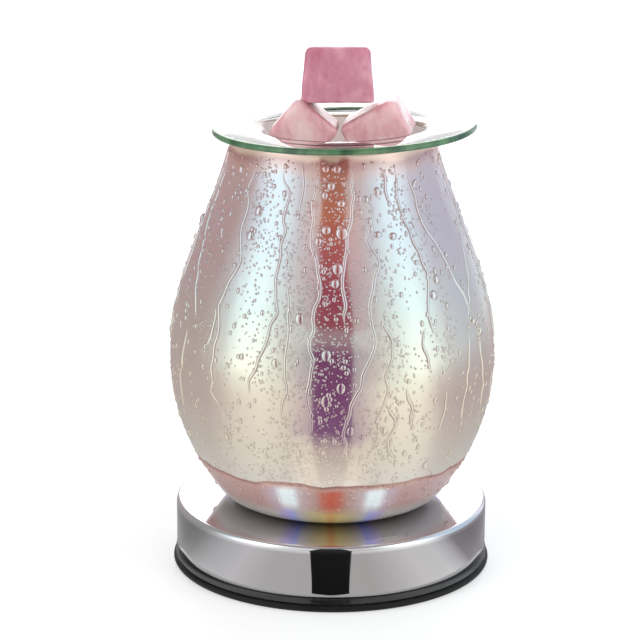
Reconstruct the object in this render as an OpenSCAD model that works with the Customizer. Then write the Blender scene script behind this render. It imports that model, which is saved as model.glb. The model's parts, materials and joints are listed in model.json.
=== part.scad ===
// Electric wax melt warmer: chromed touch base, upright halogen lamp, raindrop glass shade,
// loose glass dish and three wax melts. Origin: middle of the underside, +Z up, front is -Y.

/* [Base] */
// Outer diameter of the chromed cover
base_d = 120.2; // [116:0.2:122]
// Height of the chromed cover
base_h = 20; // [18:1:26]
// Sheet thickness of the chromed cover
base_wall = 1; // [0.8:0.1:1.4]
// Radius of the cover's top edge
base_edge_r = 2; // [1.5:0.5:4]
// Outer diameter of the rubber foot ring
foot_d = 122.9; // [118:0.1:124]
// Thickness of the rubber foot ring
foot_h = 2.8; // [2:0.2:5]
// Diameter of the plastic base plate
plate_d = 121; // [116:0.2:123]
// Thickness of the plastic base plate
plate_t = 2.6; // [2:0.2:4]

/* [Shade] */
// Largest diameter of the glass shade
shade_d = 125; // [124:0.5:126]
// Height of the largest diameter above the table
shade_belly_z = 83; // [80:1:86]
// Height of the shade's mouth above the table
shade_top_z = 168.9; // [168:0.1:169]
// Outer diameter of the mouth
mouth_d = 80; // [79:0.5:81]
// Thickness of the blown glass
shade_wall = 3.4; // [3:0.2:3.6]
// Diameter of the opening in the shade's bottom
shade_hole_d = 54.4; // [54:0.2:56]

/* [Dish] */
// Diameter of the glass dish
dish_d = 99.6; // [98:0.2:101]
// Thickness of the dish glass
dish_t = 2.4; // [2:0.1:2.6]
// Depth of the well, middle of the glass to middle of the glass
well_depth = 15.5; // [14:0.5:16]
// How far the dish sits off the shade's centre, to the right and to the front
dish_shift = [4, -3]; // [0:0.5:4]
// Tilt of the dish about the front-back axis, right side high, in degrees
dish_tilt = 1.5; // [0:0.1:1.5]

/* [Lamp] */
// Height of the top of the lamp holder
holder_top_z = 64; // [60:1:66]
// Diameter of the lamp's front
lamp_d = 50; // [49:0.5:50]
// Twist that frees the lamp's pins, in degrees
lamp_twist = 20; // [18:1:22]

/* [Wax] */
// Top melt: width at its open end, width at its moulded end, depth, height
wax_top_size = [27.2, 24.8, 25, 21]; // [20:0.2:28]
// Left melt: width, width at its moulded end, depth, height
wax_left_size = [20.6, 20.2, 22, 18.2]; // [18:0.2:22]
// Right melt: width, width at its moulded end, depth, height
wax_right_size = [24.2, 23.6, 22, 15.6]; // [15:0.2:25]

/* [Hidden] */
$fn = 96;
gap = 0.3;                       // clearance between pieces that lift off one another
slip = 0.05;                     // clearance between fixed pieces
shell_z = foot_h + plate_t;      // underside of the chromed cover
base_top = shell_z + base_h;     // top face of the chromed cover
shell_r = base_d / 2;
shell_in_r = shell_r - base_wall;
screw_r = 47;                    // pitch radius of the plate screws
screw_angles = [0, 120, 240];
stem_r = 5;                      // M10 x 1 threaded lamp pipe
stem_bore_r = 3.6;
stem_low_z = 17;
bracket_z = 36;                  // underside of the holder bracket
bracket_t = 1;
bracket_half = 14;
holder_r = 14.5;
holder_h = 18;
holder_low_z = holder_top_z - holder_h;
holder_screw_x = 11;
pin_pitch_r = 5;                 // the two pins stand 10 mm apart
pin_neck_r = 1.6;
pin_head_r = 2.5;
pin_head_h = 3.6;
pin_length = 6.2;
cap_z = holder_top_z + gap;      // underside of the lamp's cap
cap_r = 12.4;
cap_h = 13.5;
reflector_z = cap_z + cap_h;
lamp_h = 46.7;                   // cap and reflector together
lamp_top_z = cap_z + lamp_h;
gland_z = 15.4;                  // height of the cord inlet
gland_bore_r = 3.1;
dimmer_x = -29;                  // middle of the dimmer box
dimmer_size = [30, 40, 11];
dimmer_wall = 1.2;
tape_t = 1;
case_z = shell_z + tape_t;
board_z = case_z + 3.4;
board_t = 1.2;
block_x = 27;                    // middle of the terminal block
block_size = [14, 17, 10];
steps = 22;                      // points along each curve of the glass

// ---------------------------------------------------------------- curves

function bezier(p, t) =
    pow(1 - t, 3) * p[0] + 3 * t * pow(1 - t, 2) * p[1]
    + 3 * t * t * (1 - t) * p[2] + pow(t, 3) * p[3];

function bezier_slope(p, t) =
    3 * pow(1 - t, 2) * (p[1] - p[0]) + 6 * t * (1 - t) * (p[2] - p[1])
    + 3 * t * t * (p[3] - p[2]);

function unit(v) = v / norm(v);

// A point of the curve pushed sideways, to the right of the way the curve runs
function beside(p, t, distance) =
    let (s = unit(bezier_slope(p, t))) bezier(p, t) + distance * [s[1], -s[0]];

function side_of(p, distance, n) = [for (i = [0 : n]) beside(p, i / n, distance)];

function reversed(list) = [for (i = [len(list) - 1 : -1 : 0]) list[i]];

// A ring of a wire at place i, square to the wire
function wire_ring(p, i, r, sides) =
    let (a = p[max(i - 1, 0)], b = p[min(i + 1, len(p) - 1)], d = unit(b - a),
         ref = abs(d[2]) > 0.8 ? [0, 1, 0] : [0, 0, 1],
         u = unit(cross(d, ref)), v = cross(d, u))
    [for (k = [0 : sides - 1]) p[i] + r * (cos(360 * k / sides) * u + sin(360 * k / sides) * v)];

module wire(p, r, sides = 8) {
    rings = [for (i = [0 : len(p) - 1]) each wire_ring(p, i, r, sides)];
    last = len(p) - 1;
    polyhedron(rings, concat(
        [[for (k = [0 : sides - 1]) k]],
        [for (i = [0 : last - 1], k = [0 : sides - 1])
            [i * sides + k, (i + 1) * sides + k,
             (i + 1) * sides + (k + 1) % sides, i * sides + (k + 1) % sides]],
        [[for (k = [sides - 1 : -1 : 0]) last * sides + k]]), convexity = 6);
}

function wire_path(p, n) = [for (i = [0 : n]) bezier(p, i / n)];

// ---------------------------------------------------------------- helpers

module ring(r_in, r_out, z, h) {
    translate([0, 0, z]) difference() {
        cylinder(r = r_out, h = h);
        translate([0, 0, -1]) cylinder(r = r_in, h = h + 2);
    }
}

module box(size, z) {
    translate([-size[0] / 2, -size[1] / 2, z]) cube(size);
}

module at_plate_screws() {
    for (a = screw_angles) rotate(a) translate([screw_r, 0, 0]) children();
}

// ---------------------------------------------------------------- base

// Soft rubber ring with a rounded outer edge, glued under the plate
module foot_ring() {
    edge = foot_h / 2;
    color([0.07, 0.07, 0.08]) rotate_extrude() union() {
        translate([51, 0]) square([foot_d / 2 - edge - 51, foot_h]);
        translate([foot_d / 2 - edge, edge]) circle(r = edge, $fn = 48);
    }
}

// Moulded plate that closes the cover, with a spigot ring that centres it
module base_plate() {
    spigot_r = shell_in_r - 0.2;
    color([0.05, 0.05, 0.05]) difference() {
        union() {
            translate([0, 0, foot_h]) cylinder(r = plate_d / 2, h = plate_t);
            ring(spigot_r - 1.4, spigot_r, shell_z, 3);
        }
        at_plate_screws() translate([0, 0, foot_h - 1]) cylinder(r = 1.6, h = plate_t + 2);
        at_plate_screws() translate([0, 0, foot_h - 1]) cylinder(r = 3.1, h = 2.3);
    }
}

// Pan head screws up through the plate into the tabs
module plate_screws() {
    color([0.72, 0.73, 0.75]) at_plate_screws() difference() {
        union() {
            translate([0, 0, foot_h - 0.6]) cylinder(r = 2.9, h = 1.9);
            translate([0, 0, foot_h + 1.3]) cylinder(r = 1.5, h = 6.5);
        }
        for (a = [0, 90]) rotate(a) box([3.2, 0.7, 1.2], foot_h - 1);
    }
}

// Stamped steel cover, chromed, open below
module base_shell() {
    inner_top = base_top - base_wall;
    color([0.82, 0.84, 0.86]) difference() {
        rotate_extrude(convexity = 4) union() {
            translate([shell_in_r, shell_z]) square([base_wall, base_h - base_edge_r]);
            difference() {
                translate([stem_r + 0.2, base_top - base_edge_r])
                    square([shell_r - stem_r - 0.2, base_edge_r]);
                translate([0, shell_z]) square([shell_r - base_edge_r, inner_top - shell_z]);
                translate([shell_r - base_edge_r, base_top - base_edge_r])
                    square(base_edge_r + 1);
            }
            intersection() {
                translate([shell_r - base_edge_r, base_top - base_edge_r]) difference() {
                    circle(r = base_edge_r, $fn = 48);
                    circle(r = base_edge_r - base_wall, $fn = 48);
                }
                translate([shell_r - base_edge_r, base_top - base_edge_r])
                    square(base_edge_r + 1);
            }
        }
        translate([0, shell_r - 5, gland_z]) rotate([-90, 0, 0]) cylinder(r = 4.6, h = 10);
    }
}

// Folded tabs spot welded inside the cover, threaded for the plate screws
module shell_tabs() {
    color([0.7, 0.71, 0.72]) for (a = screw_angles) rotate(a) difference() {
        union() {
            translate([screw_r - 5, -5, shell_z + slip]) cube([shell_in_r - screw_r + 3, 10, 1.2]);
            intersection() {
                ring(shell_in_r - 1.2, shell_in_r - slip, shell_z + 3.2, 9);
                translate([screw_r - 5, -5, shell_z]) cube([30, 10, 20]);
            }
            translate([shell_in_r - 3.2, -5, shell_z + slip]) cube([1.2, 10, 6]);
            translate([shell_in_r - 3.2, -5, shell_z + 5]) cube([2.4, 10, 1.2]);
        }
        translate([screw_r, 0, shell_z - 1]) cylinder(r = 1.5 + slip, h = 4);
    }
}

// Flanged plastic bush that lines the cord's way through the cover
module cord_gland() {
    flange_y = shell_r;
    color([0.06, 0.06, 0.06]) translate([0, 0, gland_z]) rotate([-90, 0, 0]) difference() {
        union() {
            translate([0, 0, flange_y - 6]) cylinder(r = 4.5, h = 6);
            translate([0, 0, flange_y]) cylinder(r = 6, h = 1.5);
            translate([0, 0, flange_y - 5]) cylinder(r = 5.8, h = 2.6);
        }
        translate([0, 0, flange_y - 7]) cylinder(r = gland_bore_r, h = 10);
    }
}

// ---------------------------------------------------------------- touch dimmer

module at_dimmer() {
    translate([dimmer_x, 0, 0]) children();
}

module dimmer_tape() {
    color([0.9, 0.9, 0.88]) at_dimmer() box([24, 32, tape_t], shell_z);
}

// Open tray with cable notches in the wall that faces the lamp
module dimmer_case() {
    inner = [dimmer_size[0] - 2 * dimmer_wall, dimmer_size[1] - 2 * dimmer_wall, 20];
    tray_h = dimmer_size[2] - dimmer_wall;
    color([0.93, 0.93, 0.92]) at_dimmer() difference() {
        box([dimmer_size[0], dimmer_size[1], tray_h], case_z);
        box(inner, case_z + dimmer_wall);
        for (y = [-14, -11, 0, 11, 14])
            translate([0, y - 1.1, case_z + 5.2]) cube([30, 2.2, 10]);
    }
    color([0.93, 0.93, 0.92]) at_dimmer() for (x = [-1, 1], y = [-1, 1])
        translate([x * 11.5, y * 16.5, case_z + dimmer_wall])
            cylinder(r = 1.8, h = board_z - case_z - dimmer_wall);
}

module dimmer_lid() {
    lid_z = case_z + dimmer_size[2] - dimmer_wall;
    color([0.9, 0.9, 0.89]) at_dimmer() difference() {
        union() {
            box([dimmer_size[0], dimmer_size[1], dimmer_wall], lid_z);
            box([dimmer_size[0] - 2.6, dimmer_size[1] - 2.6, 1], lid_z - 1);
        }
        box([dimmer_size[0] - 5, dimmer_size[1] - 5, 1], lid_z - 1);
    }
}

module dimmer_board() {
    color([0.12, 0.4, 0.2]) at_dimmer() difference() {
        box([27, 37, board_t], board_z);
        for (y = [-14, -11, 0, 11, 14])
            translate([11.5, y, board_z - 1]) cylinder(r = 0.5, h = 4);
    }
}

// Power switch in a tab package, lying on the board
module triac() {
    z = board_z + board_t;
    color([0.1, 0.1, 0.1]) at_dimmer() translate([-4, -9, 0]) difference() {
        union() {
            box([15, 10, 1.2], z);
            translate([3, 0, 0]) box([9, 10, 2.6], z + 1.2);
        }
        translate([-5, 0, z - 1]) cylinder(r = 1.8, h = 4);
    }
}

module film_capacitor() {
    color([0.75, 0.2, 0.15]) at_dimmer() translate([-3, 9, 0])
        box([13, 6, 4.2], board_z + board_t);
}

module touch_chip() {
    z = board_z + board_t;
    color([0.08, 0.08, 0.09]) at_dimmer() translate([-8, 1, 0]) {
        box([6, 5, 1.4], z + 0.3);
        for (x = [-1.9, -0.6, 0.6, 1.9], y = [-1, 1])
            translate([x, y * 2.8, 0]) box([0.4, 0.8, 0.7], z);
    }
}

// Two-way screw connector; the supply cord's side is left open
module terminal_block() {
    color([0.92, 0.91, 0.86]) translate([block_x, 0, 0]) difference() {
        box(block_size, shell_z);
        for (y = [-4.2, 4.2]) {
            translate([-10, y, shell_z + 4]) rotate([0, 90, 0]) cylinder(r = 1.7, h = 20);
            for (x = [-4, 4]) translate([x, y, shell_z + 6]) cylinder(r = 1.9, h = 6);
        }
        box([2, 2.4, 12], shell_z - 1);
    }
}

module terminal_screws() {
    color([0.78, 0.7, 0.4]) translate([block_x, 0, 0])
        for (x = [-4, 4], y = [-4.2, 4.2]) translate([x, y, shell_z + 6.1]) difference() {
            cylinder(r = 1.8, h = 2.6);
            box([3, 0.6, 1], 1.8);
        }
}

// Two supply leads from the connector to the board
module dimmer_leads() {
    edge = block_x - block_size[0] / 2;
    color([0.55, 0.3, 0.12]) for (s = [-1, 1])
        wire(wire_path([[edge - slip, s * 4.2, shell_z + 4], [edge - 12, s * 5, shell_z + 3],
                        [dimmer_x + 30, s * 14, case_z + 6.4],
                        [dimmer_x + 13.2, s * 14, case_z + 6.4]], 16), 1);
}

// Two sleeved leads from the board, up the stem, to the contacts
module lamp_leads() {
    side = 1.7;
    color([0.9, 0.9, 0.85]) for (s = [-1, 1])
        wire(concat(
            wire_path([[dimmer_x + 13.2, s * 11, case_z + 6.4], [dimmer_x + 24, s * 11, case_z + 6.4],
                       [0, s * side, 8], [0, s * side, stem_low_z]], 14),
            [[0, s * side, 28], [0, s * side, bracket_z + 2]],
            wire_path([[0, s * side, bracket_z + 4], [0, s * side, bracket_z + 7],
                       [s * pin_pitch_r, 0, holder_low_z - 4],
                       [s * pin_pitch_r, 0, holder_low_z - gap]], 6)), 1);
}

// Sensing lead from the board to a ring tag clamped under the stem nut
module touch_lead() {
    tag_z = base_top - base_wall - 2;
    color([0.75, 0.1, 0.1]) {
        ring(stem_r + 0.2, stem_r + 3, tag_z, 0.8);
        translate([-stem_r - 5.4, -1.5, tag_z]) cube([3, 3, 0.8]);
        wire(wire_path([[dimmer_x + 13.2, 0, case_z + 6.4], [-7, 0, case_z + 6.4],
                        [-17, 0, tag_z + 0.4], [-stem_r - 5, 0, tag_z + 0.4]], 12), 0.7);
    }
}

// ---------------------------------------------------------------- stem and shade seat

module stem_tube() {
    color([0.85, 0.75, 0.45]) ring(stem_bore_r, stem_r, stem_low_z, bracket_z + 6 - stem_low_z);
}

module stem_washer() {
    color([0.75, 0.76, 0.78]) ring(stem_r + 0.2, 9, base_top - base_wall - 1.2, 1.2);
}

// Three hexagon nuts: under the cover, over the seat, over the bracket
module stem_nuts() {
    lower = base_top - base_wall - 5;
    color([0.8, 0.72, 0.42]) for (z = [lower, base_top + 0.8, bracket_z + bracket_t])
        translate([0, 0, z]) difference() {
            cylinder(r = 8, h = 3, $fn = 6);
            translate([0, 0, -1]) cylinder(r = stem_r, h = 5);
        }
}

// Pressed steel seat: a flat disc with a turned-up collar that centres the glass
module shade_seat() {
    collar_r = shade_hole_d / 2 - 1;
    color([0.8, 0.81, 0.82]) {
        ring(stem_r + 0.2, collar_r, base_top, 0.8);
        ring(collar_r - 0.8, collar_r, base_top + 0.8, 5);
    }
}

module shade_gasket() {
    color([0.9, 0.9, 0.9]) ring(shade_hole_d / 2 + 0.4, shade_hole_d / 2 + 3.4, base_top, gap);
}

// ---------------------------------------------------------------- lamp holder

// U of strip steel, its two top flanges turned inwards under the holder
module holder_bracket() {
    w = 15;
    top = holder_low_z;
    color([0.78, 0.79, 0.8]) difference() {
        union() {
            translate([-bracket_half, -w / 2, bracket_z]) cube([2 * bracket_half, w, bracket_t]);
            for (s = [0, 1]) mirror([s, 0, 0]) {
                translate([bracket_half - bracket_t, -w / 2, bracket_z])
                    cube([bracket_t, w, top - bracket_z]);
                translate([bracket_half - 5.6, -w / 2, top - bracket_t])
                    cube([5.6, w, bracket_t]);
            }
        }
        translate([0, 0, bracket_z - 1]) cylinder(r = stem_r + slip, h = 3);
        for (s = [-1, 1]) translate([s * holder_screw_x, 0, top - 3])
            cylinder(r = 1.5 + slip, h = 5);
    }
}

// Keyhole slots: a round entry at the end of an arc that the pin's neck turns along
module pin_slots() {
    neck = pin_neck_r + gap;
    head = pin_head_r + 0.4;
    neck_a = asin(neck / pin_pitch_r);
    head_a = asin(head / pin_pitch_r);
    for (side = [0, 180]) rotate(side) {
        translate([0, 0, holder_top_z - 3]) rotate(-neck_a)
            rotate_extrude(angle = lamp_twist + 2 * neck_a, convexity = 2)
                translate([pin_pitch_r - neck, 0]) square([2 * neck, 4]);
        translate([0, 0, holder_top_z - 7]) rotate(-head_a)
            rotate_extrude(angle = lamp_twist + 2 * head_a, convexity = 2)
                translate([pin_pitch_r - head, 0]) square([2 * head, 5]);
        rotate(lamp_twist) translate([pin_pitch_r, 0, holder_top_z - 4])
            cylinder(r = head, h = 5);
    }
}

module lamp_holder() {
    color([0.94, 0.92, 0.86]) difference() {
        union() {
            translate([0, 0, holder_low_z]) cylinder(r = holder_r, h = holder_h - 1.5);
            translate([0, 0, holder_top_z - 1.5]) cylinder(r1 = holder_r, r2 = holder_r - 1.5, h = 1.5);
        }
        pin_slots();
        for (s = [-1, 1]) {
            translate([s * holder_screw_x, 0, holder_low_z - 1]) cylinder(r = 1.6, h = 30);
            translate([s * holder_screw_x, 0, holder_low_z + 8]) cylinder(r = 3.1, h = 20);
            translate([s * pin_pitch_r, 0, 0]) box([3.2, 1.2, 12], holder_low_z - 1);
        }
    }
}

module holder_screws() {
    color([0.75, 0.76, 0.78]) for (s = [-1, 1]) translate([s * holder_screw_x, 0, 0])
        difference() {
            union() {
                translate([0, 0, holder_low_z - 3]) cylinder(r = 1.5, h = 11);
                translate([0, 0, holder_low_z + 8]) cylinder(r = 2.8, h = 2);
            }
            box([6, 0.7, 1], holder_low_z + 9.2);
        }
}

// Sprung brass strips under the pins, with tails down to the leads
module holder_contacts() {
    color([0.85, 0.7, 0.3]) for (s = [-1, 1]) translate([s * pin_pitch_r, 0, 0]) {
        box([3, 4, 0.4], holder_top_z - 7);
        box([3, 1, holder_h - 7], holder_low_z);
    }
}

// ---------------------------------------------------------------- lamp

module lamp_cap() {
    color([0.95, 0.94, 0.9]) difference() {
        union() {
            translate([0, 0, cap_z]) cylinder(r1 = cap_r - 1, r2 = cap_r, h = 2);
            translate([0, 0, cap_z + 2]) cylinder(r = cap_r, h = cap_h - 2);
        }
        for (s = [-1, 1]) translate([s * pin_pitch_r, 0, cap_z - 1])
            cylinder(r = pin_neck_r + slip, h = 4);
        translate([0, 0, reflector_z - 4]) cylinder(r = 4.5 + slip, h = 5);
    }
}

module lamp_pins() {
    color([0.8, 0.8, 0.8]) for (s = [-1, 1]) translate([s * pin_pitch_r, 0, 0]) {
        translate([0, 0, cap_z - pin_length]) cylinder(r = pin_head_r, h = pin_head_h);
        translate([0, 0, cap_z - pin_length + pin_head_h])
            cylinder(r = pin_neck_r, h = pin_length - pin_head_h + 3);
    }
}

// Parabolic glass reflector with a thicker rim
module lamp_reflector() {
    deep = lamp_top_z - reflector_z;
    throat = cap_r - 0.4;
    function bowl(t) = throat + (lamp_d / 2 - 0.6 - throat) * sqrt(t);
    wall = 1.3;
    outer = [for (i = [0 : steps]) let (t = pow(i / steps, 2)) [bowl(t), reflector_z + t * deep]];
    inner = [for (i = [steps : -1 : 0])
        let (t = pow(i / steps, 2)) [bowl(t) - wall, reflector_z + t * deep]];
    color([0.88, 0.88, 0.9]) difference() {
        union() {
            rotate_extrude(convexity = 4) polygon(concat(outer, inner));
            ring(lamp_d / 2 - 2.2, lamp_d / 2, lamp_top_z - 4, 4);
            ring(4.5 + slip, throat - 0.5, reflector_z, 1);
        }
        translate([0, 0, lamp_top_z - 2.4]) cylinder(r = lamp_d / 2 - 1.1, h = 3);
    }
}

module lamp_front_glass() {
    color([0.85, 0.9, 0.92, 0.4])
        translate([0, 0, lamp_top_z - 2.3]) cylinder(r = lamp_d / 2 - 1.2, h = 1.8);
}

module capsule_form(r, top) {
    translate([0, 0, reflector_z - 4 + (4.5 - r)]) cylinder(r = r, h = top - reflector_z - r);
    translate([0, 0, top - 4 + 4.5 - 2 * r]) sphere(r = r, $fn = 64);
}

// Quartz capsule, hollow, pinched into the cap
module halogen_capsule() {
    top = reflector_z + 22;
    color([0.9, 0.93, 0.95, 0.4]) difference() {
        capsule_form(4.5, top);
        capsule_form(3.7, top);
    }
}

module filament() {
    color([0.6, 0.6, 0.62]) translate([0, 0, reflector_z + 5]) {
        translate([-3, 0, 4]) rotate([0, 90, 0]) cylinder(r = 0.7, h = 6);
        for (s = [-1, 1]) translate([s * 2.7, 0, 0]) cylinder(r = 0.25, h = 4);
    }
}

// ---------------------------------------------------------------- shade

// The shade's outside, from the mouth down to the belly, the heel and the bottom opening
belly_r = shade_d / 2;
mouth_r = mouth_d / 2;
heel = [44.6, 31];
neck_curve = [[mouth_r, shade_top_z - 2], [mouth_r - 2.2, shade_top_z - 16],
              [belly_r, shade_belly_z + 38.7], [belly_r, shade_belly_z]];
bowl_curve = [[belly_r, shade_belly_z], [belly_r, shade_belly_z - 24], [53, 42.5], heel];
foot_curve = [heel, [41.8, 27.3], [37.5, base_top + gap + slip], [33, base_top + gap + slip]];

function tail(list) = [for (i = [1 : len(list) - 1]) list[i]];

function shade_side(distance, n) = concat(
    side_of(neck_curve, distance, n), tail(side_of(bowl_curve, distance, n)),
    tail(side_of(foot_curve, distance, n)));

// Half circle of the fire-polished edge, from the inside over to the outside
function lip_arc(p, wall, n) =
    let (c = beside(p, 0, wall / 2), s = unit(bezier_slope(p, 0)), a = atan2(s[0], -s[1]))
    [for (i = [1 : n - 1]) c + wall / 2 * [cos(a + 180 - 180 * i / n), sin(a + 180 - 180 * i / n)]];

// Blown and pressed glass, open at both ends
module glass_shade() {
    floor_z = base_top + gap + slip;
    hole_r = shade_hole_d / 2;
    outside = shade_side(0, steps);
    inside = shade_side(shade_wall, steps);
    color([0.86, 0.74, 0.78]) rotate_extrude(convexity = 6)
        polygon(concat(outside, [[hole_r, floor_z], [hole_r, floor_z + shade_wall]],
                       reversed(inside), lip_arc(neck_curve, shade_wall, 10)));
}

// ---------------------------------------------------------------- dish

dish_z = 171.5;                  // middle of the flange's thickness, at the dish's centre
well_curve = [[36, 0], [26, 0], [31.5, -well_depth], [14, -well_depth]];

module in_dish() {
    translate([dish_shift[0], dish_shift[1], dish_z]) rotate([-0.3, -dish_tilt, 0]) children();
}

// Slumped sheet glass: flat flange, round edge, deep well
module wax_dish() {
    half = dish_t / 2;
    edge_r = dish_d / 2 - half;
    color([0.75, 0.88, 0.82, 0.4]) in_dish() rotate_extrude(convexity = 4) union() {
        polygon(concat([[edge_r, half]], side_of(well_curve, half, steps),
                       [[0, half - well_depth], [0, -half - well_depth]],
                       reversed(side_of(well_curve, -half, steps)), [[edge_r, -half]]));
        translate([edge_r, 0]) circle(r = half, $fn = 48);
    }
}

// ---------------------------------------------------------------- wax melts

// A moulded block hanging from the middle of its moulded end, which has rounder edges
module wax_block(size, open_r, mould_r) {
    taper = size[1] / size[0];
    tall = size[3];
    hull() for (x = [-1, 1], y = [-1, 1]) {
        translate([x * (size[0] / 2 - open_r), y * (size[2] / 2 - open_r), open_r - tall])
            sphere(r = open_r, $fn = 16);
        translate([x * (size[1] / 2 - mould_r), y * (size[2] * taper / 2 - mould_r), -mould_r])
            sphere(r = mould_r, $fn = 24);
    }
}

module at_top_melt() {
    translate([1.4, -4.6, 202.3]) rotate([-7.5, 0, 0]) children();
}

module at_left_melt() {
    translate([-4.7, -6, 178.2]) rotate([-4, 38.6, -6]) children();
}

module at_right_melt() {
    translate([12.6, -5.4, 179]) rotate([0, -29, -6]) children();
}

// Everything below the plane that a melt's upper face lies in
module under_plane() {
    translate([-40, -40, gap - 60]) cube([80, 80, 60]);
}

// The softened top melt has settled flat on the upper faces of the other two
module wax_melt_top() {
    color([0.8, 0.52, 0.6]) difference() {
        at_top_melt() wax_block(wax_top_size, 1.2, 3.2);
        at_left_melt() under_plane();
        at_right_melt() under_plane();
    }
}

module wax_melt_left() {
    color([0.84, 0.6, 0.64]) at_left_melt() wax_block(wax_left_size, 1.6, 3);
}

module wax_melt_right() {
    color([0.84, 0.58, 0.63]) at_right_melt() wax_block(wax_right_size, 1.6, 3);
}

foot_ring();
base_plate();
plate_screws();
base_shell();
shell_tabs();
cord_gland();
dimmer_tape();
dimmer_case();
dimmer_lid();
dimmer_board();
triac();
film_capacitor();
touch_chip();
terminal_block();
terminal_screws();
dimmer_leads();
lamp_leads();
touch_lead();
stem_tube();
stem_washer();
stem_nuts();
shade_seat();
shade_gasket();
holder_bracket();
lamp_holder();
holder_screws();
holder_contacts();
lamp_cap();
lamp_pins();
lamp_reflector();
lamp_front_glass();
halogen_capsule();
filament();
glass_shade();
wax_dish();
wax_melt_top();
wax_melt_left();
wax_melt_right();
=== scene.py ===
# A table lamp that melts scented wax: chromed foot with a touch dimmer inside, upright halogen lamp,
# lustred glass shade with raised raindrops, a loose glass dish on its mouth and three wax blocks.
# Metres, +Z up, front towards -Y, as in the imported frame.
import json
import math
import random

import bmesh
import bpy
from mathutils import Matrix, Vector, noise


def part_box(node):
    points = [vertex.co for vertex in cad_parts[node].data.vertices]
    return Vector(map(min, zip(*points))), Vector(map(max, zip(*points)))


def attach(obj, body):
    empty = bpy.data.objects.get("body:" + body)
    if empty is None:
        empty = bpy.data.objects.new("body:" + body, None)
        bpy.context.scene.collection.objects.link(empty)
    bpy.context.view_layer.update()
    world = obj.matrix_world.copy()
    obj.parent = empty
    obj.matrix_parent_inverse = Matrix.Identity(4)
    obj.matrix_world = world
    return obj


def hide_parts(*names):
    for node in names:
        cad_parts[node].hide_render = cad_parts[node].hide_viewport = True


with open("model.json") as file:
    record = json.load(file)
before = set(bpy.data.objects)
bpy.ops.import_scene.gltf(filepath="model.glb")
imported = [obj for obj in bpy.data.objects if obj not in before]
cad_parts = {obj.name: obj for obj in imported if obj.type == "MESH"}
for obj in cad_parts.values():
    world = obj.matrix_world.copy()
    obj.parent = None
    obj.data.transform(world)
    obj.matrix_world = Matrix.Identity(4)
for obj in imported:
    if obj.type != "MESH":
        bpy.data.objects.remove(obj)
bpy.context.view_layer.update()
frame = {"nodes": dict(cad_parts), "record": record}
MM = 0.001


# ------------------------------------------------------------------ rubber ring and plate
# A soft black ring stands on the table, glued under a moulded black plate, whose collar reaches up
# into the cover. Both are turned shapes with rounded edges, and make the dark line under the chrome.

FOOT_INNER_R = 51 * MM
FOOT_EDGE_SEGMENTS = 10
PLATE_EDGE = 0.5 * MM
PLATE_EDGE_SEGMENTS = 4
COLLAR_OUTER_R = 58.9 * MM
COLLAR_INNER_R = 57.5 * MM
COLLAR_HEIGHT = 3 * MM
TURN_STEPS = 176
SLOT_OF = {row["node"]: row["material_slot"] for row in frame["record"]["subparts"]}


def arc(centre, radius, start, end, segments):
    """Points on part of a circle in the (radius, height) plane, from start to end degrees"""
    turns = [math.radians(start + (end - start) * i / segments) for i in range(segments + 1)]
    return [(centre[0] + radius * math.cos(t), centre[1] + radius * math.sin(t)) for t in turns]


def turned(outline, closed=True, steps=TURN_STEPS):
    """A round mesh made by spinning an outline of (radius, height) points once about the Z axis"""
    bm = bmesh.new()
    verts = [bm.verts.new((r, 0, z)) for r, z in outline]
    ends = verts[1:] + verts[:1] if closed else verts[1:]
    edges = [bm.edges.new(pair) for pair in zip(verts, ends)]
    bmesh.ops.spin(bm, geom=verts + edges, cent=(0, 0, 0), axis=(0, 0, 1), steps=steps,
                   angle=2 * math.pi, use_merge=True)
    bmesh.ops.remove_doubles(bm, verts=bm.verts, dist=1e-6)
    bmesh.ops.dissolve_degenerate(bm, edges=bm.edges, dist=1e-7)
    bmesh.ops.recalc_face_normals(bm, faces=bm.faces)
    return bm


def new_object(bm, name, finish=None):
    """Puts a finished mesh in the scene"""
    mesh = bpy.data.meshes.new(name)
    bm.to_mesh(mesh)
    bm.free()
    if finish:
        mesh.materials.append(finish)
    made = bpy.data.objects.new(name, mesh)
    bpy.context.scene.collection.objects.link(made)
    return made


def make_piece(bm, name, finish, body, nodes=(), crease=35):
    """Turns a finished mesh into a piece that rides on a body and stands for its CAD nodes"""
    piece = new_object(bm, name, finish)
    piece.data.shade_smooth()
    piece.data.set_sharp_from_angle(angle=math.radians(crease))
    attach(piece, body)
    if nodes:
        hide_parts(*nodes)
    return piece


def new_finish(name, constants):
    """A material with its main shader's own sockets set to constants"""
    finish = bpy.data.materials.new(name)
    finish.use_nodes = True
    shader = finish.node_tree.nodes["Principled BSDF"]
    for label, value in constants.items():
        shader.inputs[label].default_value = value
    return finish, finish.node_tree, shader


def add(tree, kind, inputs=None, **settings):
    """A new node with its sockets and settings filled in"""
    made = tree.nodes.new("ShaderNode" + kind)
    for label, value in (inputs or {}).items():
        made.inputs[label].default_value = value
    for label, value in settings.items():
        setattr(made, label, value)
    return made


def placed(tree, stretch=(1, 1, 1)):
    """The piece's own Object coordinates, stretched"""
    where = add(tree, "TexCoord")
    mapping = add(tree, "Mapping", {"Scale": stretch})
    tree.links.new(where.outputs["Object"], mapping.inputs["Vector"])
    return mapping.outputs["Vector"]


def cloud(tree, scale, detail=3, stretch=(1, 1, 1), roughness=0.55):
    """A soft noise pattern with so many features in a metre"""
    made = add(tree, "TexNoise", {"Scale": scale, "Detail": detail, "Roughness": roughness})
    tree.links.new(placed(tree, stretch), made.inputs["Vector"])
    return made.outputs["Fac"]


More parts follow.
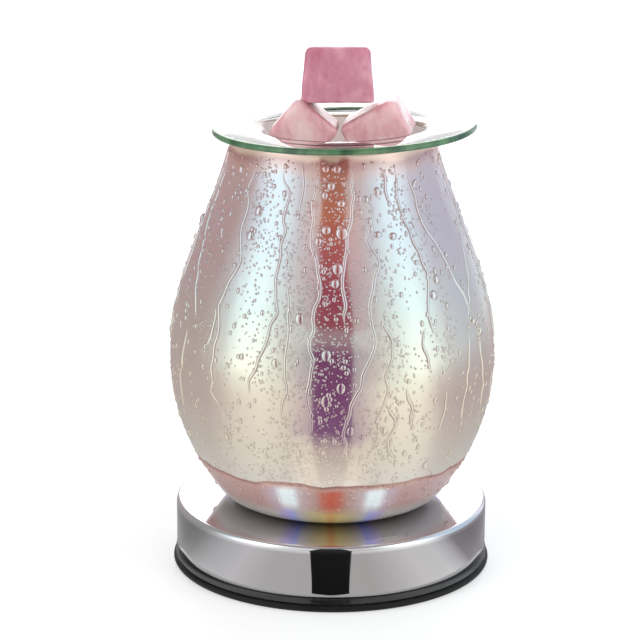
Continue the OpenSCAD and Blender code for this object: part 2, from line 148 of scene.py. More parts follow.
def ramp(tree, factor, stops):
    """Colours along a factor; each stop is (place, red, green, blue)"""
    made = add(tree, "ValToRGB")
    points = made.color_ramp.elements
    while len(points) < len(stops):
        points.new(1)
    for point, (place, *colour) in zip(points, stops):
        point.position = place
        point.color = (*colour, 1)
    tree.links.new(factor, made.inputs["Fac"])
    return made.outputs["Color"]


def ranged(tree, factor, low, high, start=0.3, end=0.7):
    """A factor brought into a range of values"""
    made = add(tree, "MapRange", {"From Min": start, "From Max": end, "To Min": low, "To Max": high})
    tree.links.new(factor, made.inputs["Value"])
    return made.outputs["Result"]


def relief(tree, shader, height, depth):
    """A bump of so many metres in the shader's surface"""
    made = add(tree, "Bump", {"Strength": 1.0, "Distance": depth})
    tree.links.new(height, made.inputs["Height"])
    tree.links.new(made.outputs["Normal"], shader.inputs["Normal"])


def grained(name, dark, light, scale, rough, grain, constants=None, stretch=(1, 1, 1)):
    """A finish with cloudy colour, uneven gloss and a fine grain: scale is in features per metre"""
    finish, tree, shader = new_finish(name, constants or {})
    patches = cloud(tree, scale, stretch=stretch)
    colours = ramp(tree, patches, [(0.3, *dark), (0.7, *light)])
    tree.links.new(colours, shader.inputs["Base Color"])
    tree.links.new(ranged(tree, patches, *rough), shader.inputs["Roughness"])
    relief(tree, shader, cloud(tree, scale * 9, detail=2, stretch=stretch), grain)
    return finish


BLACK_RUBBER = grained("black_rubber", (0.004, 0.004, 0.004), (0.011, 0.011, 0.011), 260, (0.4, 0.6),
                       0.00008, {"Specular IOR Level": 0.18})
BLACK_PLASTIC = grained("black_plastic", (0.008, 0.008, 0.009), (0.018, 0.018, 0.019), 400,
                        (0.22, 0.4), 0.00003)

low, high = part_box("foot_ring")
foot_edge = (high.z - low.z) / 2
foot = turned([(FOOT_INNER_R, low.z),
               *arc((high.x - foot_edge, foot_edge), foot_edge, -90, 90, FOOT_EDGE_SEGMENTS),
               (FOOT_INNER_R, high.z)])
make_piece(foot, "rubber_foot_ring", BLACK_RUBBER, "base", ["foot_ring"])

plate_low, plate_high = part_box("base_plate")
shell_low, shell_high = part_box("base_shell")
plate_side = plate_high.x - PLATE_EDGE
collar_top = shell_low.z + COLLAR_HEIGHT
plate = turned([(0, plate_low.z),
                *arc((plate_side, plate_low.z + PLATE_EDGE), PLATE_EDGE, -90, 0, PLATE_EDGE_SEGMENTS),
                *arc((plate_side, shell_low.z - PLATE_EDGE), PLATE_EDGE, 0, 90, PLATE_EDGE_SEGMENTS),
                (COLLAR_OUTER_R, shell_low.z), (COLLAR_OUTER_R, collar_top),
                (COLLAR_INNER_R, collar_top), (COLLAR_INNER_R, shell_low.z), (0, shell_low.z)],
               closed=False)
make_piece(plate, "bottom_plate", BLACK_PLASTIC, "base", ["base_plate"])


# ------------------------------------------------------------------ chromed cover
# Deep drawn steel cap, polished and chromed, with a tight rolled edge round its flat top and a hole
# for the lamp's stem. Its mirror is painted darker on the side and brighter on top, as painted shade
# and light, with faint polishing lines and some haze.

EDGE_R = 2 * MM
EDGE_SEGMENTS = 14
INNER_EDGE_SEGMENTS = 8
WALL = 1 * MM
CUT_EDGE = 0.15 * MM
SEAT_R = 30 * MM
STEM_HOLE_R = 5.2 * MM
# Painted shade and light: the side's colour is darker and the top's brighter, set by height
SHADED_SIDE_CHROME = (0.345, 0.335, 0.345)
LIT_TOP_CHROME = (0.72, 0.71, 0.73)


def own_xyz(tree):
    """A node whose outputs X, Y and Z are the place on the piece"""
    where = add(tree, "SeparateXYZ")
    tree.links.new(placed(tree), where.inputs["Vector"])
    return where


def mirror_chrome():
    """Chrome plate with painted shade on its side and painted light on its top, turning over the rolled
    edge
    """
    finish, tree, shader = new_finish("chrome_steel", {"Metallic": 1.0})
    # Share of the painted bright top, rising over the rolled edge
    painted_top_share = ranged(tree, own_xyz(tree).outputs["Z"], 0, 1, shell_high.z - 3 * MM, shell_high.z - 1 * MM)
    tree.links.new(ramp(tree, painted_top_share, [(0, *SHADED_SIDE_CHROME), (1, *LIT_TOP_CHROME)]), shader.inputs["Base Color"])
    haze = cloud(tree, 45, detail=4)
    tree.links.new(ranged(tree, haze, 0.025, 0.07), shader.inputs["Roughness"])
    lines = cloud(tree, 90, detail=5, stretch=(1, 1, 30))
    relief(tree, shader, lines, 0.000004)
    return finish


CHROME = mirror_chrome()
cover_r = shell_high.x
top = shell_high.z
edge_centre = (cover_r - EDGE_R, top - EDGE_R)
cover = turned([(cover_r - WALL, shell_low.z), (cover_r - CUT_EDGE, shell_low.z),
                (cover_r, shell_low.z + CUT_EDGE), *arc(edge_centre, EDGE_R, 0, 90, EDGE_SEGMENTS),
                (SEAT_R, top), (STEM_HOLE_R, top), (STEM_HOLE_R, top - WALL),
                *arc(edge_centre, EDGE_R - WALL, 90, 0, INNER_EDGE_SEGMENTS)])
make_piece(cover, "chrome_cover", CHROME, "base", ["base_shell"], crease=50)


# ------------------------------------------------------------------ finishes of the inner pieces
# The parts that carry the lamp keep their machined and moulded shapes, and get the finish of the
# real stock: zinc plated steel, turned brass, moulded plastics, solder mask and sleeved leads.

ZINC = grained("zinc_steel", (0.42, 0.44, 0.47), (0.66, 0.67, 0.7), 180, (0.22, 0.45), 0.00002,
               {"Metallic": 1.0})
BRASS = grained("yellow_brass", (0.55, 0.38, 0.14), (0.78, 0.6, 0.28), 240, (0.18, 0.38), 0.00002,
                {"Metallic": 1.0}, stretch=(1, 1, 14))
WHITE_PLASTIC = grained("white_plastic", (0.74, 0.74, 0.71), (0.84, 0.84, 0.82), 300, (0.4, 0.55),
                        0.00004)
FOAM = grained("foam_tape", (0.6, 0.6, 0.56), (0.82, 0.82, 0.78), 1800, (0.8, 0.95), 0.0002)
BLACK_RESIN = grained("black_resin", (0.012, 0.012, 0.012), (0.03, 0.03, 0.032), 900, (0.5, 0.7),
                      0.00004)
RED_RESIN = grained("red_resin", (0.38, 0.04, 0.02), (0.55, 0.08, 0.05), 350, (0.15, 0.3), 0.00006,
                    {"Coat Weight": 0.5})
BROWN_WIRE = grained("brown_wire", (0.16, 0.06, 0.02), (0.26, 0.11, 0.05), 500, (0.25, 0.4), 0.00002)
RED_WIRE = grained("red_wire", (0.42, 0.02, 0.02), (0.6, 0.05, 0.04), 500, (0.25, 0.4), 0.00002)
TUNGSTEN = grained("tungsten", (0.2, 0.2, 0.2), (0.4, 0.4, 0.41), 2500, (0.35, 0.5), 0.00003,
                   {"Metallic": 1.0})
CERAMIC = grained("white_ceramic", (0.78, 0.75, 0.67), (0.87, 0.85, 0.79), 420, (0.55, 0.75),
                  0.00006, {"Subsurface Weight": 0.05, "Subsurface Scale": 0.001})


def woven_sleeve():
    """Glass fibre braid round a lead"""
    finish, tree, shader = new_finish("white_sleeve", {"Roughness": 0.85})
    braid = add(tree, "TexWave", {"Scale": 900, "Distortion": 2, "Detail": 1}, bands_direction="DIAGONAL")
    tree.links.new(placed(tree), braid.inputs["Vector"])
    tree.links.new(ramp(tree, braid.outputs["Fac"], [(0, 0.55, 0.53, 0.46), (1, 0.86, 0.85, 0.8)]),
                   shader.inputs["Base Color"])
    relief(tree, shader, braid.outputs["Fac"], 0.0001)
    return finish


def circuit_board():
    """Green solder mask with faint copper tracks under it"""
    finish, tree, shader = new_finish("green_board", {"Roughness": 0.25, "Coat Weight": 0.3})
    tracks = add(tree, "TexBrick", {"Scale": 260, "Mortar Size": 0.03, "Color1": (0.02, 0.2, 0.07, 1),
                                    "Color2": (0.03, 0.26, 0.1, 1), "Mortar": (0.08, 0.36, 0.16, 1)})
    tree.links.new(placed(tree), tracks.inputs["Vector"])
    tree.links.new(tracks.outputs["Color"], shader.inputs["Base Color"])
    relief(tree, shader, tracks.outputs["Fac"], 0.00004)
    return finish


def clear_rubber():
    """Milky silicone washer"""
    finish, tree, shader = new_finish("clear_silicone", {
        "Transmission Weight": 0.5, "IOR": 1.41, "Subsurface Weight": 0.2, "Subsurface Scale": 0.002})
    patches = cloud(tree, 300)
    tree.links.new(ramp(tree, patches, [(0.3, 0.8, 0.81, 0.81), (0.7, 0.9, 0.91, 0.91)]),
                   shader.inputs["Base Color"])
    tree.links.new(ranged(tree, patches, 0.25, 0.4), shader.inputs["Roughness"])
    return finish


def lamp_mirror():
    """Faceted cold mirror: silver with a faint violet and green cast, dimpled"""
    finish, tree, shader = new_finish("lamp_mirror", {"Metallic": 1.0, "Roughness": 0.08})
    facets = add(tree, "TexVoronoi", {"Scale": 260})
    tree.links.new(placed(tree), facets.inputs["Vector"])
    tint = ramp(tree, cloud(tree, 60), [(0.3, 0.8, 0.78, 0.86), (0.55, 0.86, 0.86, 0.86),
                                        (0.7, 0.8, 0.87, 0.84)])
    tree.links.new(tint, shader.inputs["Base Color"])
    relief(tree, shader, facets.outputs["Distance"], 0.0004)
    return finish


def lamp_glass():
    """Clear pressed glass with slight waves"""
    finish, tree, shader = new_finish("lamp_glass", {
        "Base Color": (0.96, 0.98, 0.98, 1), "Transmission Weight": 1.0, "IOR": 1.47})
    waves = cloud(tree, 120)
    tree.links.new(ranged(tree, waves, 0.0, 0.04), shader.inputs["Roughness"])
    relief(tree, shader, waves, 0.0001)
    return finish


FINISHES = {
    "black_rubber": BLACK_RUBBER, "black_plastic": BLACK_PLASTIC, "chrome_steel": CHROME,
    "zinc_steel": ZINC, "yellow_brass": BRASS, "white_plastic": WHITE_PLASTIC, "foam_tape": FOAM,
    "green_board": circuit_board(), "black_resin": BLACK_RESIN, "red_resin": RED_RESIN,
    "brown_wire": BROWN_WIRE, "white_sleeve": woven_sleeve(), "red_wire": RED_WIRE,
    "clear_silicone": clear_rubber(), "white_ceramic": CERAMIC, "lamp_mirror": lamp_mirror(),
    "lamp_glass": lamp_glass(), "tungsten": TUNGSTEN,
}
for part, slot_name in SLOT_OF.items():
    if slot_name in FINISHES:
        slots = frame["nodes"][part].data.materials
        for i in range(len(slots)):
            slots[i] = FINISHES[slot_name]


# ------------------------------------------------------------------ glass shade
# Blown into a mould, open at both ends, with a fire-polished mouth. The mould leaves raised drops
# and long wandering runs on the outside; a fired lustre coat gives it its pearl colours. The hem
# carries painted reflections and glints, the flanks are painted paler and the inside has a painted glow.

shade_low, shade_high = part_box("glass_shade")
BELLY_R = shade_high.x
MOUTH_R = 40 * MM
GLASS = 3.4 * MM
# The smooth face lies this far inside the CAD one, to leave room for the raised relief
RELIEF_ROOM = 0.5 * MM
OUTER_STEPS = 34
INNER_STEPS = 26
LIP_SEGMENTS = 12
MOUTH_EDGE = 1.5 * MM
GLASS_TURN_STEPS = 192
BELLY_Z = 83 * MM
HEEL = (44.6 * MM, 31 * MM)
FOOT_HOLE_R = 27.2 * MM
LIP_Z = shade_high.z - 1.94 * MM
SHADE_CURVES = [
    [(MOUTH_R, LIP_Z), (MOUTH_R - 2.2 * MM, LIP_Z - 14 * MM), (BELLY_R, BELLY_Z + 38.7 * MM),
     (BELLY_R, BELLY_Z)],
    [(BELLY_R, BELLY_Z), (BELLY_R, BELLY_Z - 24 * MM), (53 * MM, 42.5 * MM), HEEL],
    [HEEL, (41.8 * MM, 27.3 * MM), (37.5 * MM, shade_low.z), (33 * MM, shade_low.z)],
]


def bezier(points, t):
    p = [Vector(q) for q in points]
    return ((1 - t) ** 3 * p[0] + 3 * t * (1 - t) ** 2 * p[1] + 3 * t * t * (1 - t) * p[2]
            + t ** 3 * p[3])


def bezier_slope(points, t):
    p = [Vector(q) for q in points]
    return ((1 - t) ** 2 * (p[1] - p[0]) + 2 * t * (1 - t) * (p[2] - p[1])
            + t * t * (p[3] - p[2])).normalized()


def beside(points, t, distance):
    """A point of the curve pushed inwards, square to it"""
    slope = bezier_slope(points, t)
    return bezier(points, t) + distance * Vector((slope.y, -slope.x))


def shade_side(distance, steps):
    """The shade's outline from the mouth down, at a distance inside its outer face"""
    made = []
    for points in SHADE_CURVES:
        made += [beside(points, i / steps, distance) for i in range(steps + 1)][bool(made):]
    return made


OUTER = shade_side(RELIEF_ROOM, OUTER_STEPS)


def shade_radius(z):
    """Radius of the smooth outer face at a height"""
    for upper, lower in zip(OUTER, OUTER[1:]):
        if upper.y >= z >= lower.y:
            share = (upper.y - z) / (upper.y - lower.y)
            return upper.x + (lower.x - upper.x) * share
    return OUTER[0].x if z > OUTER[0].y else OUTER[-1].x


def on_shade(degrees, z, out=0.0):
    """A point on the outer face, so many degrees round from the front, and the way out there"""
    turn = math.radians(degrees)
    rise = (shade_radius(z - MM) - shade_radius(z + MM)) / (2 * MM)
    around = Vector((math.sin(turn), -math.cos(turn), 0))
    outward = (around + Vector((0, 0, rise))).normalized()
    return around * shade_radius(z) + Vector((0, 0, z)) + outward * out, outward


def mixed(tree, share, first, second):
    """Colour that goes from the first to the second as the share rises"""
    mix = add(tree, "MixRGB")
    tree.links.new(share, mix.inputs["Fac"])
    tree.links.new(first, mix.inputs["Color1"])
    tree.links.new(second, mix.inputs["Color2"])
    return mix.outputs["Color"]


def blended(tree, share, first, second):
    """Shader that goes from the first to the second as the share rises"""
    made = add(tree, "MixShader")
    tree.links.new(share, made.inputs["Fac"])
    tree.links.new(first, made.inputs[1])
    tree.links.new(second, made.inputs[2])
    return made.outputs["Shader"]


def show(tree, shader):
    """Makes a shader the one that the material shows"""
    tree.links.new(shader, tree.nodes["Material Output"].inputs["Surface"])


def turn_of(tree, where):
    """Turn round the lamp from its front, in radians"""
    forward = add(tree, "Math", {1: -1.0}, operation="MULTIPLY")
    tree.links.new(where.outputs["Y"], forward.inputs[0])
    turn = add(tree, "Math", operation="ARCTAN2")
    tree.links.new(where.outputs["X"], turn.inputs[0])
    tree.links.new(forward.outputs["Value"], turn.inputs[1])
    return turn.outputs["Value"]


def sum_of(tree, first, second):
    """Two values added"""
    made = add(tree, "Math", operation="ADD")
    tree.links.new(first, made.inputs[0])
    tree.links.new(second, made.inputs[1])
    return made.outputs["Value"]


# The mould repeats every third of a turn, so a place round the shade is its turn from the nearest
# of three streaks. Heights in the lustre are shares of the way from LUSTRE_FROM to LUSTRE_TO.
HALF_THIRD = math.radians(60)
STREAK_EDGE = (math.radians(9), math.radians(17))
LUSTRE_FROM = 25 * MM
LUSTRE_TO = 170 * MM
WANDER = 1.6 * MM
MOTTLE = 0.013
HEM_TOP = (0.151, 0.153)
# Colours under the coat by height, the glass's own and painted: height, red, green, blue
STREAK_BODY = [
    (0.152, 0.78, 0.68, 0.60), (0.22, 0.66, 0.54, 0.47), (0.27, 0.54, 0.40, 0.38),
    (0.31, 0.24, 0.08, 0.22), (0.42, 0.25, 0.035, 0.20), (0.505, 0.28, 0.04, 0.17),
    (0.54, 0.50, 0.28, 0.33), (0.558, 0.50, 0.26, 0.29), (0.573, 0.44, 0.06, 0.10),
    (0.65, 0.48, 0.04, 0.09), (0.74, 0.62, 0.10, 0.10), (0.84, 0.74, 0.18, 0.08),
    (0.94, 0.66, 0.20, 0.12), (0.962, 0.36, 0.06, 0.06), (0.975, 0.72, 0.48, 0.36)]
# Painted sheen: beside the streaks the colour is paler, standing for the lights' reflection washing over
# the glass; in the streak in front, where the dark gap is mirrored, the glass keeps its saturated colour
FLANK_BODY_PAINTED_PALER = [
    (0.152, 0.58, 0.53, 0.48), (0.24, 0.50, 0.43, 0.38), (0.36, 0.46, 0.32, 0.32),
    (0.50, 0.50, 0.27, 0.27), (0.70, 0.56, 0.20, 0.19), (0.94, 0.64, 0.24, 0.18),
    (0.962, 0.36, 0.08, 0.07), (0.975, 0.72, 0.48, 0.36)]
# Below the hem's top the colour is painted reflection, standing for the chrome top and the lights mirrored
# in the glass's lower band
HEM_PAINTED_REFLECTION = [
    (0.00, 0.50, 0.42, 0.36), (0.09, 0.50, 0.30, 0.26),
    (0.140, 0.55, 0.33, 0.29), (0.146, 0.34, 0.16, 0.14), (0.152, 0.34, 0.16, 0.14)]
# Where the hem has its patches of painted glints and where the rounded foot starts under it: height, then
# a share
GLINT_PATCH_SHARE = [(0.05, 0, 0, 0), (0.085, 1, 1, 1), (0.128, 1, 1, 1), (0.142, 0, 0, 0)]
FOOT_GLINT_SHARE = [(0.05, 1, 1, 1), (0.08, 0, 0, 0)]
# Their colours round the shade, painted glints of blue-white, blue-violet and orange among the hem's
# painted reflection: share of the way from a streak to halfway between two, then colour
HEM_PAINTED_GLINTS = [
    (0.00, 0.58, 0.10, 0.05), (0.06, 0.55, 0.15, 0.10), (0.11, 0.50, 0.30, 0.26),
    (0.22, 0.60, 0.48, 0.50), (0.27, 0.88, 0.97, 1.00), (0.35, 0.90, 0.98, 1.00),
    (0.41, 0.58, 0.46, 0.52), (0.55, 0.50, 0.30, 0.27), (1.0, 0.52, 0.36, 0.34)]
FOOT_PAINTED_GLINTS = [
    (0.00, 0.70, 0.38, 0.14), (0.06, 0.66, 0.52, 0.22), (0.16, 0.58, 0.50, 0.30),
    (0.26, 0.54, 0.50, 0.52), (0.31, 0.38, 0.42, 0.84), (0.37, 0.48, 0.42, 0.74),
    (0.47, 0.54, 0.50, 0.46), (1.0, 0.52, 0.48, 0.46)]
# The metallic coat: its colours by height, with the bluish cast of the lights above painted into its
# upper part, and its share, which rises between two heights
COAT_TINT_AND_LIGHT_CAST = [
    (0.00, 0.75, 0.60, 0.72), (0.10, 0.85, 0.72, 0.70), (0.22, 0.92, 0.90, 0.66),
    (0.38, 0.94, 0.96, 0.70), (0.48, 0.80, 0.98, 0.80), (0.62, 0.60, 0.98, 0.94),
    (0.78, 0.50, 0.90, 0.98), (0.92, 0.50, 0.86, 0.98), (0.97, 0.70, 0.60, 0.55)]
COAT_SHARE = (0.12, 0.45)
COAT_RISE = (48 * MM, 88 * MM)
RIPPLE = 0.00025


def body_colours(tree, level, around):
    """Colour under the coat, from the height on the shade and the turn from a streak, with paler painted
    flanks and a hem of painted reflections and glints
    """
    mottle = ranged(tree, cloud(tree, 150, detail=3), -MOTTLE, MOTTLE, 0.25, 0.75)
    streak = ramp(tree, sum_of(tree, level, mottle), STREAK_BODY)
    flank = ramp(tree, level, FLANK_BODY_PAINTED_PALER)
    # Paler painted flanks beside the streaks
    wall = mixed(tree, ranged(tree, around, 0, 1, *STREAK_EDGE), streak, flank)
    turn = ranged(tree, around, 0, 1, 0, HALF_THIRD)
    # The foot and the hem get painted reflections and glints
    foot = mixed(tree, ramp(tree, level, FOOT_GLINT_SHARE), ramp(tree, level, HEM_PAINTED_REFLECTION),
                 ramp(tree, turn, FOOT_PAINTED_GLINTS))
    painted_hem = mixed(tree, ramp(tree, level, GLINT_PATCH_SHARE), foot, ramp(tree, turn, HEM_PAINTED_GLINTS))
    return mixed(tree, ranged(tree, level, 0, 1, *HEM_TOP), painted_hem, wall)


def pearl_lustre():
    """A saturated body under a metallic coat: each height has its colour, and the coat its opposite,
    tinted higher up with a painted cast of the lights
    """
    finish, tree, body = new_finish("pearl_glass", {
        "Roughness": 0.4, "IOR": 1.5, "Specular IOR Level": 0.3})
    where = own_xyz(tree)
    height = where.outputs["Z"]
    wander = ranged(tree, cloud(tree, 38, detail=2, stretch=(1, 1, 0.6)), -WANDER, WANDER)
    level = ranged(tree, sum_of(tree, height, wander), 0, 1, LUSTRE_FROM, LUSTRE_TO)
    around = add(tree, "Math", {1: HALF_THIRD}, operation="PINGPONG")
    tree.links.new(turn_of(tree, where), around.inputs[0])
    tree.links.new(body_colours(tree, level, around.outputs["Value"]), body.inputs["Base Color"])
    coat = add(tree, "BsdfPrincipled", {"Metallic": 1.0, "Roughness": 0.13})
    tree.links.new(ramp(tree, level, COAT_TINT_AND_LIGHT_CAST), coat.inputs["Base Color"])
    ripples = cloud(tree, 70, detail=2, stretch=(1, 1, 0.35))
    relief(tree, body, ripples, RIPPLE)
    relief(tree, coat, ripples, RIPPLE)
    share = ranged(tree, height, *COAT_SHARE, *COAT_RISE)
    show(tree, blended(tree, share, body.outputs["BSDF"], coat.outputs["BSDF"]))
    return finish


PEARL = pearl_lustre()
# Painted light: the inside faces are paler and glow faintly, standing for daylight through the glass
INSIDE_PAINTED_GLOW = grained("inside_painted_glow", (0.66, 0.56, 0.54), (0.80, 0.72, 0.70), 60, (0.25, 0.4), 0.00005,
                       {"Emission Color": (0.95, 0.82, 0.80, 1), "Emission Strength": 0.22})
inner = shade_side(GLASS, INNER_STEPS)
lip_slope = bezier_slope(SHADE_CURVES[0], 0)
lip_centre = beside(SHADE_CURVES[0], 0, (GLASS + RELIEF_ROOM) / 2)
lip_turn = math.degrees(math.atan2(lip_slope.x, -lip_slope.y))
lip = arc(lip_centre, (GLASS - RELIEF_ROOM) / 2, lip_turn + 180, lip_turn, LIP_SEGMENTS)[1:-1]
foot_z = shade_low.z
shade = turned([*OUTER, (FOOT_HOLE_R + 0.3 * MM, foot_z + RELIEF_ROOM),
                (FOOT_HOLE_R, foot_z + 0.8 * MM), (FOOT_HOLE_R, foot_z + GLASS), *reversed(inner), *lip],
               steps=GLASS_TURN_STEPS)
# The inner faces below the mouth take the painted glow
for face in shade.faces:
    middle = face.calc_center_median()
    if face.normal.xy.dot(middle.xy) < 0 and middle.z < shade_high.z - MOUTH_EDGE:
        face.material_index = 1
shade_piece = make_piece(shade, "pearl_shade", PEARL, "shade", ["glass_shade"], crease=60)
shade_piece.data.materials.append(INSIDE_PAINTED_GLOW)


# ------------------------------------------------------------------ drops and runs on the shade
# Raised relief from the mould, one with the glass: runs that start under the mouth and wander down,
# each a low half-round ridge, and drops from pinheads to lentils, thicker round the front.

RUN_R = 0.85 * MM
RUN_SINK = 0.40 * MM
# Share of its thickness that a run has where it starts and where it stops
RUN_START = 0.35
RUN_STOP = 0.3
# A run bends a little every so many millimetres, by up to so many degrees round the shade
RUN_STEP = 1.1
KINK_STEP = 5
KINK = 0.9
# No drop stands higher than this, and none comes nearer than that to the widest the shade may be
DROP_RISE = 0.9 * MM
DROP_ROOM = 0.03 * MM
# Each run is its way down: degrees round from the front, height in millimetres
RUNS = [
    [(-44, 166), (-48, 153), (-45, 149), (-44, 138), (-40, 129), (-46, 112), (-44, 102), (-46, 80),
     (-41, 73), (-40, 66)],
    [(-48, 111), (-47, 104), (-50, 96)],
    [(-29, 166), (-26, 158), (-22, 154), (-23, 146), (-21, 141), (-22, 128), (-20, 113), (-24, 100),
     (-29, 88), (-29, 78)],
    [(-17, 166), (-15, 158), (-16, 146)],
    [(-18, 131), (-19, 126), (-16, 112), (-16, 98), (-15, 86), (-17, 78), (-16, 72)],
    [(-6, 166), (-8, 158), (-10, 150), (-9, 136), (-6, 128), (-5, 119), (-8, 104), (-7, 94),
     (-8, 80), (-7, 75), (-8, 62)],
    [(9, 166), (10, 160), (9, 150), (6, 136), (4, 121), (5, 108)],
    [(16, 166), (15, 156), (19, 149), (15, 140), (19, 130), (14, 117), (15, 105), (12, 95),
     (8, 84), (6, 77), (4, 69), (5, 62), (6, 51)],
    [(26, 163), (28, 150)],
    [(35, 166), (33, 150), (36, 140), (40, 125), (37, 111), (39, 98)],
    [(41, 166), (43, 155), (45, 140), (52, 127), (59, 111), (63, 102)],
    [(18, 113), (21, 100), (18, 91), (19, 86), (16, 72)],
    [(19, 81), (22, 74), (20, 67), (21, 61), (24, 56)],
    [(35, 107), (33, 100), (35, 92)],
    [(57, 102), (55, 88), (53, 78), (53, 66)],
    [(43, 82), (41, 67)],
    [(26, 86), (29, 70)],
]
# The largest drops of the front: degrees, height, half width, and how tall for their width
FRONT_DROPS = [
    (4, 141, 2.2, 1.1), (-3, 142, 1.7, 1.0), (2, 163, 1.5, 1.1), (-1, 157, 1.4, 1.2), (4, 151, 1.4, 1.0),
    (2, 129, 1.9, 1.2), (1, 124, 1.5, 1.2), (-2, 99, 1.8, 1.2), (-4, 163, 1.3, 1.1), (3, 87, 1.6, 1.3),
    (-2, 82, 1.7, 1.4), (20, 140, 1.6, 0.8), (27, 139, 1.6, 0.9), (44, 122, 1.5, 1.2), (41, 117, 1.7, 1.1),
]
LENTILS = 40
BEADS = 760
TRAILS = 460
PINHEADS_IN_STREAK = 200
BEADS_IN_STREAK = 16
# How far the beads and half of the trails spread round the front, in degrees
BEAD_SPREAD = 75
TRAIL_SPREAD = 28
# A trail of pinheads: least and most of them, its length, width and lean, and the heights it keeps to
TRAIL_PINHEADS = (6, 14)
TRAIL_LENGTH = 5
TRAIL_WIDTH = 2.2
TRAIL_LEAN = 0.35
LOWEST_PINHEAD = 30
HIGHEST_PINHEAD = 165
DROPS_IN_A_LOT = 60
chance = random.Random(11)


def smooth_way(way, step):
    """The way's points joined by a smooth line with a point every step millimetres"""
    ends = [way[0], *way, way[-1]]
    made = []
    for a, b, c, d in zip(ends, ends[1:], ends[2:], ends[3:]):
        pieces = max(2, round((b[1] - c[1]) / step))
        for i in range(pieces):
            t = i / pieces
            made.append(tuple(0.5 * (2 * b[k] + (c[k] - a[k]) * t
                                     + (2 * a[k] - 5 * b[k] + 4 * c[k] - d[k]) * t * t
                                     + (3 * b[k] - a[k] - 3 * c[k] + d[k]) * t ** 3) for k in (0, 1)))
    return made + [way[-1]]


def waver(way):
    """The way with a small kink every few millimetres, as water takes"""
    made = [way[0]]
    for (degrees, height), (next_degrees, next_height) in zip(way, way[1:]):
        kinks = int(abs(next_height - height) / KINK_STEP)
        for i in range(1, kinks + 1):
            share = i / (kinks + 1)
            made.append((degrees + (next_degrees - degrees) * share + chance.uniform(-KINK, KINK),
                         height + (next_height - height) * share))
        made.append((next_degrees, next_height))
    return made


def add_run(curve, way):
    """A ridge along a way: thin where it starts, full in the middle, rounded where it stops"""
    points = smooth_way(waver(way), RUN_STEP)
    spline = curve.splines.new("POLY")
    spline.points.add(len(points) - 1)
    for i, (degrees, height) in enumerate(points):
        place = on_shade(degrees, height * MM, -RUN_SINK)[0]
        share = i / (len(points) - 1)
        spline.points[i].co = (*place, 1)
        spline.points[i].radius = min(1, RUN_START + 3 * share, RUN_STOP + 5 * (1 - share))


def drop_form(degrees, height, size, tall=1.15):
    """Where a flattened drop sits, half sunk in the glass, and its shape; size is its half width"""
    place, outward = on_shade(degrees, height * MM)
    room = BELLY_R - DROP_ROOM - math.hypot(place.x, place.y)
    rise = min(0.6 * size * MM, DROP_RISE, room)
    sideways = Vector((0, 0, 1)).cross(outward).normalized()
    up = outward.cross(sideways)
    turn = Matrix((sideways, up, outward)).transposed().to_4x4()
    return Matrix.Translation(place) @ turn @ Matrix.Diagonal((size * MM, size * tall * MM, rise, 1))


def scattered(count, turn, heights, sizes, shapes):
    """Forms of so many drops; turn draws a place round the shade, and the rest are lows and highs"""
    return [drop_form(turn(), chance.uniform(*heights), chance.uniform(*sizes), chance.uniform(*shapes))
            for _ in range(count)]


def add_drops(whole, forms, roundness):
    """Adds drops to a mesh in small lots, which keeps it quick"""
    for first in range(0, len(forms), DROPS_IN_A_LOT):
        lot = bmesh.new()
        for form in forms[first:first + DROPS_IN_A_LOT]:
            bmesh.ops.create_icosphere(lot, subdivisions=roundness, radius=1, matrix=form)
        mesh = bpy.data.meshes.new("lot")
        lot.to_mesh(mesh)
        lot.free()
        whole.from_mesh(mesh)
        bpy.data.meshes.remove(mesh)


curve = bpy.data.curves.new("runs", "CURVE")
curve.dimensions = "3D"
curve.bevel_depth = RUN_R
curve.bevel_resolution = 2
curve.use_fill_caps = True
lentils = [drop_form(*drop) for drop in FRONT_DROPS]
beads = []
pinheads = []
# The same runs on each third of the shade, mirrored on the second, with a bead where each one stops
for turn, side in ((0, 1), (120, -1), (240, 1)):
    for way in RUNS:
        turned_way = [(turn + side * degrees, height) for degrees, height in way]
        add_run(curve, turned_way)
        beads.append(drop_form(*turned_way[-1], 0.8, 1.5))
lentils += scattered(LENTILS, lambda: chance.uniform(0, 360), (48, 160), (1.0, 1.7), (1.0, 1.4))
beads += scattered(BEADS, lambda: chance.gauss(0, BEAD_SPREAD), (34, 164), (0.45, 0.95), (1.0, 1.6))
# Trails of pinheads, half of them gathered round the front and half anywhere
for number in range(TRAILS):
    middle = chance.gauss(0, TRAIL_SPREAD) if number % 2 else chance.uniform(0, 360)
    height = chance.uniform(34, 162)
    for _ in range(chance.randint(*TRAIL_PINHEADS)):
        along = chance.gauss(0, TRAIL_LENGTH)
        pinheads.append(drop_form(middle + chance.gauss(0, TRAIL_WIDTH) - TRAIL_LEAN * along,
                                  min(HIGHEST_PINHEAD, max(LOWEST_PINHEAD, height + along)),
                                  chance.uniform(0.26, 0.52), 1.2))
# A fine spray and some beads down the front streak
pinheads += scattered(PINHEADS_IN_STREAK, lambda: chance.uniform(-8, 8), (76, 124), (0.25, 0.5),
                      (1.0, 1.3))
beads += scattered(BEADS_IN_STREAK, lambda: chance.uniform(-7, 7), (74, 102), (0.7, 1.1), (0.9, 1.2))

# The runs' curves become a mesh, and the drops are gathered in another
holder = bpy.data.objects.new("runs", curve)
bpy.context.scene.collection.objects.link(holder)
ridges = bpy.data.meshes.new_from_object(holder)
bpy.data.objects.remove(holder)
runs = bmesh.new()
runs.from_mesh(ridges)
bpy.data.meshes.remove(ridges)
bmesh.ops.recalc_face_normals(runs, faces=runs.faces)
make_piece(runs, "shade_runs", PEARL, "shade", crease=80)

